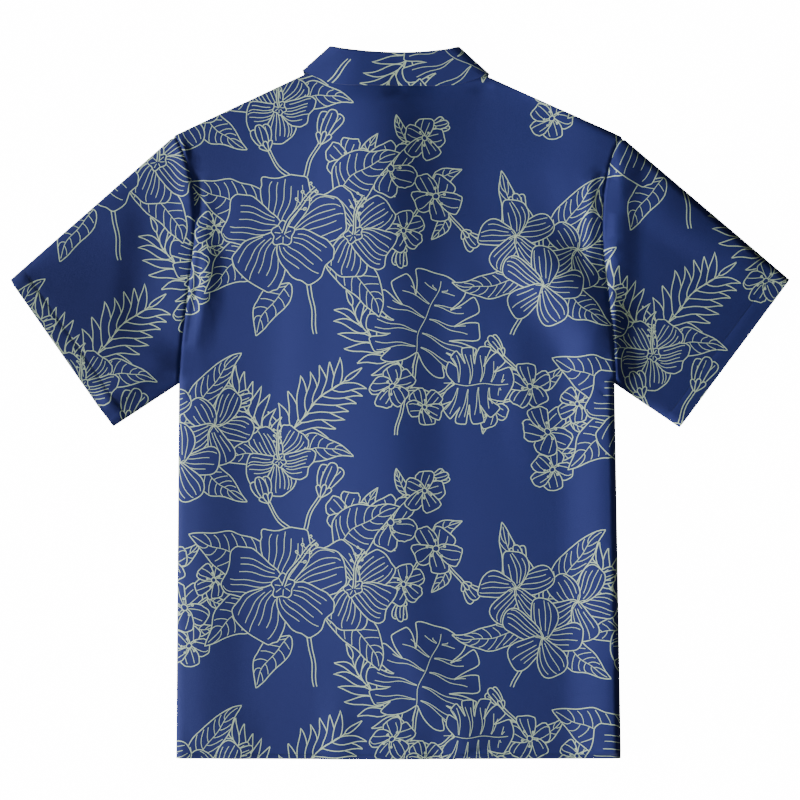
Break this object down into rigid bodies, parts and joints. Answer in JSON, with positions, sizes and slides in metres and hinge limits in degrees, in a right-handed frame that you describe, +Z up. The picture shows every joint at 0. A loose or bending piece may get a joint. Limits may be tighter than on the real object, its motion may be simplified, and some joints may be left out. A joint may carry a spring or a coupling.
{
  "type": "hawaiian shirt",
  "caption": "Short-sleeved printed shirt with a folded collar and a buttoned front, laid flat on its front with its back facing up.",
  "frame": {"origin": "middle of the surface that the shirt lies on, under the middle of its outline", "axes": "+X to the right across the back as it is seen from above, +Y from the hem to the collar, +Z up from the surface"},
  "size_m": [0.8436, 0.7699, 0.0239],
  "materials": {
    "printed_cloth": "smooth woven cotton with a soft sheen",
    "buttons": "polished"
  },
  "bodies": {
    "root": {"back": "printed_cloth", "front_left": "printed_cloth", "front_right": "printed_cloth", "sleeve_left": "printed_cloth", "sleeve_right": "printed_cloth", "collar_stand": "printed_cloth", "collar_fall": "printed_cloth", "button_1": "buttons", "button_2": "buttons", "button_3": "buttons", "button_4": "buttons", "button_5": "buttons", "button_6": "buttons"}
  },
  "joints": []
}
